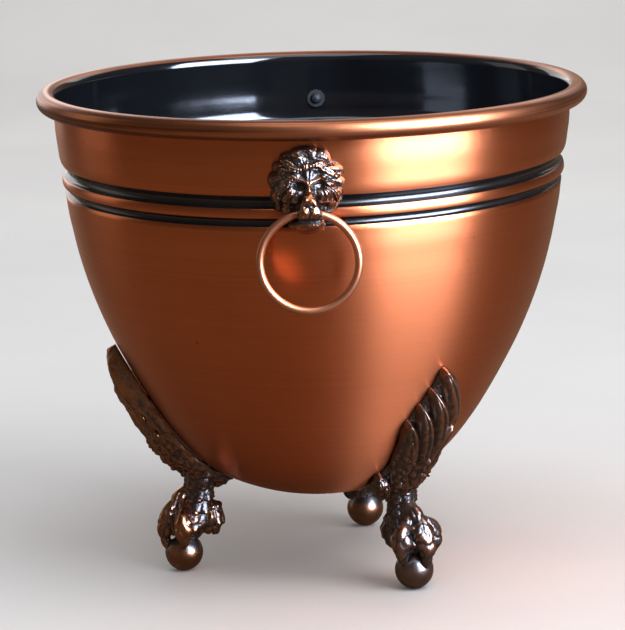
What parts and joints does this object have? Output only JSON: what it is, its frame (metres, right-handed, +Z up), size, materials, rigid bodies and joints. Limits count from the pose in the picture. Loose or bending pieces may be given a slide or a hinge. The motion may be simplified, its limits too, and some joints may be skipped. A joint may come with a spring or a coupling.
{
  "type": "footed planter pot",
  "caption": "Copper planter: spun bowl with rolled rim and dark coves, cast claw-and-ball feet, lion masks and hanging rings.",
  "frame": {"origin": "on the floor, under the bowl's axis, between the underside flats of the balls", "axes": "+Z up the bowl's axis; the front lion mask faces -Y, the rear one +Y; +X to the right as the front mask is faced"},
  "size_m": [0.229, 0.2392, 0.206],
  "materials": {
    "bowl": "satin copper, brushed round the bowl; gloss black lacquer in the coves, satin black lacquer inside",
    "casting": "antiqued copper plate, black in the recesses and polished on the high spots",
    "ring": "satin copper wire",
    "fixing": "blacked steel under the inside lacquer"
  },
  "bodies": {
    "pot": {"bowl": "bowl", "lion_mask_front": "casting", "lion_mask_rear": "casting", "foot_right": "casting", "foot_rear": "casting", "foot_left": "casting", "mask_front_screw": "fixing", "mask_front_washer": "fixing", "mask_rear_screw": "fixing", "mask_rear_washer": "fixing", "foot_right_lower_screw": "fixing", "foot_right_lower_washer": "fixing", "foot_right_upper_screw": "fixing", "foot_right_upper_washer": "fixing", "foot_rear_lower_screw": "fixing", "foot_rear_lower_washer": "fixing", "foot_rear_upper_screw": "fixing", "foot_rear_upper_washer": "fixing", "foot_left_lower_screw": "fixing", "foot_left_lower_washer": "fixing", "foot_left_upper_screw": "fixing", "foot_left_upper_washer": "fixing"},
    "front_ring": {"ring_front": "ring"},
    "rear_ring": {"ring_rear": "ring"}
  },
  "joints": [
    {"name": "ring_front_swing", "type": "hinge", "parent": "pot", "child": "front_ring", "pos_m": [0, -0.1125, 0.1701], "axis": [-1, 0, 0], "range_deg": [-18, 110]},
    {"name": "ring_rear_swing", "type": "hinge", "parent": "pot", "child": "rear_ring", "pos_m": [0, 0.1125, 0.1701], "axis": [1, 0, 0], "range_deg": [-18, 110]}
  ]
}
